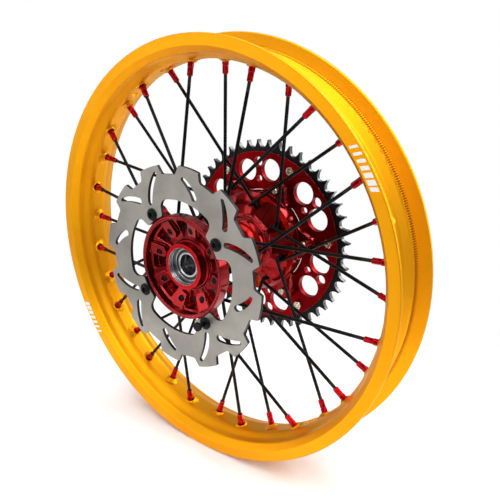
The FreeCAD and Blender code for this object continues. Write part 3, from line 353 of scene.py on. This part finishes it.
def hub_red():
    """Glossy red anodised hub with a brighter red painted on its boss face as painted light, and edges
    paler from wear and painted highlight; inside its bore it is bare turned alloy.
    """
    tree = Tree("hub_red")
    radius, along, arc = tree.around()
    lines = tree.grain(radius, along, arc, 3600, 18)
    clouds = tree.noise(tree.place(), 40, 4)
    wear_and_highlight, rounded = tree.edges(0.0010)
    red = tree.mix(tree.ramp(clouds, 0.35, 0.65), srgb(122, 3, 8), srgb(148, 8, 14))
    # a mask of the boss's front face, where a brighter red is painted as light falling on it
    off_face = tree.math("ABSOLUTE", tree.math("SUBTRACT", along, BOSS_FACE))
    lit_boss_face = tree.math("MULTIPLY", tree.ramp(tree.facing(), 0.9, 0.97),
                      tree.math("LESS_THAN", off_face, BOSS_FACE_DEPTH))
    lit_boss_face = tree.math("MULTIPLY", lit_boss_face, tree.math("LESS_THAN", radius, BOSS_FACE_RADIUS))
    # painted light: the boss's front face is coloured a brighter red, as if lit
    red = tree.mix(lit_boss_face, red, srgb(206, 4, 14))
    # pinkish-white edges: partly wear, partly painted highlight
    red = tree.mix(tree.math("MULTIPLY", wear_and_highlight, 0.8), red, srgb(238, 96, 102))
    bare = tree.mix(lines, srgb(150, 150, 152), srgb(220, 220, 222))
    bored = tree.math("SUBTRACT", 1.0, tree.ramp(radius, *BORE_EDGE))
    colour = tree.mix(bored, red, bare)
    roughness = tree.math("ADD", 0.15, tree.math("MULTIPLY", lines, 0.09))
    return tree.finish(Base_Color=colour, Metallic=1.0, Roughness=roughness,
                       Normal=tree.bump(lines, 0.00002, 0.25, rounded),
                       Coat_Weight=0.22, Coat_Roughness=0.05)


MATERIALS = {
    "rim_gold": rim_gold(),
    "hub_red": hub_red(),
    "carrier_red": carrier_red(),
    "nipple_red": plain_metal("nipple_anodised", srgb(150, 8, 18), srgb(190, 20, 34), 0.24, 350),
    "spoke_black": spoke_coat(),
    "disc_steel": ground_disc(),
    "tooth_black": toothed_steel(),
    "screw_black": plain_metal("black_oxide", srgb(5, 5, 6), srgb(15, 15, 16), 0.34,
                               edge_light=0.2, metallic=0.0, shine=0.14),
    "nickel": plain_metal("nickel_plate", srgb(206, 198, 178), srgb(230, 224, 208), 0.22, 220),
    "seal_rubber": seal_rubber(),
    "cage_steel": turned_steel("cage_steel", srgb(120, 118, 112), srgb(180, 176, 168), 0.34),
    "spring_steel": turned_steel("spring_steel", srgb(60, 60, 62), srgb(110, 110, 112), 0.32),
    "bearing_steel": turned_steel("bearing_steel", srgb(170, 170, 172), srgb(226, 226, 228), 0.2),
}


def dress_nodes():
    """Every CAD node gets the material of its slot."""
    slots = {entry["node"]: entry["material_slot"] for entry in frame["record"]["subparts"]}
    for name, piece in nodes.items():
        piece.data.materials.clear()
        piece.data.materials.append(MATERIALS[slots[name]])


# ---------------------------------------------------------------- studio

def area_light(name, place, size, power):
    """A rectangular lamp aimed at the wheel's centre."""
    light = bpy.data.lights.new(name, "AREA")
    light.shape = "RECTANGLE"
    light.size, light.size_y = size
    light.energy = power
    lamp = bpy.data.objects.new(name, light)
    bpy.context.scene.collection.objects.link(lamp)
    lamp.location = place
    lamp.rotation_mode = "QUATERNION"
    lamp.rotation_quaternion = (-Vector(place)).to_track_quat("-Z", "Y")


def build_floor():
    """A large pale floor just under the rim; away from the wheel it glows up to the backdrop."""
    level = cad_low.z - FLOOR_GAP
    mesh = bpy.data.meshes.new("studio_floor")
    corners = [(FLOOR_REACH * x, FLOOR_REACH * y, level)
               for x, y in ((-1, -1), (1, -1), (1, 1), (-1, 1))]
    mesh.from_pydata(corners, [], [(0, 1, 2, 3)])
    floor = bpy.data.objects.new("studio_floor", mesh)
    bpy.context.scene.collection.objects.link(floor)
    tree = Tree("pale_floor")
    fine = tree.noise(tree.place(), 90, 3)
    colour = tree.mix(fine, (0.93, 0.93, 0.93, 1), (0.97, 0.97, 0.97, 1))
    away = tree.add("ShaderNodeVectorMath", {0: tree.place(), 1: (1, 1, 0)},
                    operation="MULTIPLY").outputs[0]
    away = tree.add("ShaderNodeVectorMath", {0: away}, operation="LENGTH").outputs["Value"]
    glow = tree.ramp(away, 0.08, 0.60)
    camera_ray = tree.add("ShaderNodeLightPath").outputs["Is Camera Ray"]
    mirrored = tree.mix(tree.ramp(away, 0.25, 0.9), (0.95, 0.95, 0.95, 1), (0.36, 0.36, 0.36, 1))
    colour = tree.mix(camera_ray, mirrored, colour)
    pale = tree.add("ShaderNodeBsdfPrincipled", {"Base Color": colour, "Roughness": 0.75})
    lit = tree.add("ShaderNodeEmission", {"Color": (1, 1, 1, 1), "Strength": 1.0})
    both = tree.add("ShaderNodeMixShader", {0: tree.math("MULTIPLY", glow, camera_ray)})
    tree.tree.links.new(pale.outputs[0], both.inputs[1])
    tree.tree.links.new(lit.outputs[0], both.inputs[2])
    tree.tree.links.new(both.outputs[0], tree.output.inputs[0])
    mesh.materials.append(tree.material)


def build_world():
    """White to the camera; to the metal, a bright upper half with darker sides to reflect."""
    world = bpy.data.worlds.new("studio")
    bpy.context.scene.world = world
    world.use_nodes = True
    tree = world.node_tree
    tree.nodes.clear()
    output = tree.nodes.new("ShaderNodeOutputWorld")
    seen = tree.nodes.new("ShaderNodeBackground")
    seen.inputs[0].default_value = (1, 1, 1, 1)
    seen.inputs[1].default_value = 1.0
    lit = tree.nodes.new("ShaderNodeBackground")
    lit.inputs[1].default_value = 0.6
    coords = tree.nodes.new("ShaderNodeTexCoord")
    split = tree.nodes.new("ShaderNodeSeparateXYZ")
    ramp = tree.nodes.new("ShaderNodeValToRGB")
    ramp.color_ramp.elements[0].position = 0.40
    ramp.color_ramp.elements[0].color = (0.07, 0.07, 0.07, 1)
    ramp.color_ramp.elements[1].position = 0.85
    ramp.color_ramp.elements[1].color = (1, 1, 1, 1)
    lift = tree.nodes.new("ShaderNodeMapRange")
    lift.inputs["From Min"].default_value = -1
    lift.inputs["From Max"].default_value = 1
    path = tree.nodes.new("ShaderNodeLightPath")
    choose = tree.nodes.new("ShaderNodeMixShader")
    link = tree.links.new
    link(coords.outputs["Generated"], split.inputs[0])
    link(split.outputs[2], lift.inputs["Value"])
    link(lift.outputs[0], ramp.inputs[0])
    link(ramp.outputs[0], lit.inputs[0])
    link(path.outputs["Is Camera Ray"], choose.inputs[0])
    link(lit.outputs[0], choose.inputs[1])
    link(seen.outputs[0], choose.inputs[2])
    link(choose.outputs[0], output.inputs[0])


def build_camera():
    """The camera in front and above, to the right of the axle; its axis is off the centre."""
    azimuth, elevation = math.radians(40.67), math.radians(19.64)
    distance, aside, above = 0.8206, -0.0032, -0.0096
    back = Vector((math.sin(azimuth) * math.cos(elevation),
                   -math.cos(azimuth) * math.cos(elevation), math.sin(elevation)))
    right = Vector((math.cos(azimuth), math.sin(azimuth), 0))
    up = back.cross(right)
    data = bpy.data.cameras.new("camera")
    data.sensor_width = 36
    data.lens = 48.47
    data.shift_x = 0.0654
    data.shift_y = 0.0212
    camera = bpy.data.objects.new("camera", data)
    bpy.context.scene.collection.objects.link(camera)
    camera.matrix_world = Matrix.Translation(right * aside + up * above + back * distance) @ \
        Matrix((right, up, back)).transposed().to_4x4()
    bpy.context.scene.camera = camera


dress_nodes()
build_floor()
build_world()
area_light("key", (1.3, -1.5, 1.9), (1.2, 1.2), 22)
area_light("top", (0.1, -0.1, 2.0), (2.4, 2.4), 40)
area_light("left", (-1.9, -0.9, 0.7), (0.9, 1.5), 8)
area_light("low", (-0.9, -1.6, 0.1), (1.0, 0.5), 4.5)
area_light("back", (0.6, 1.9, 1.2), (1.4, 0.9), 20)
area_light("right", (1.7, 1.1, 0.6), (0.9, 1.2), 18)
build_camera()
bpy.context.scene.view_settings.view_transform = "Standard"
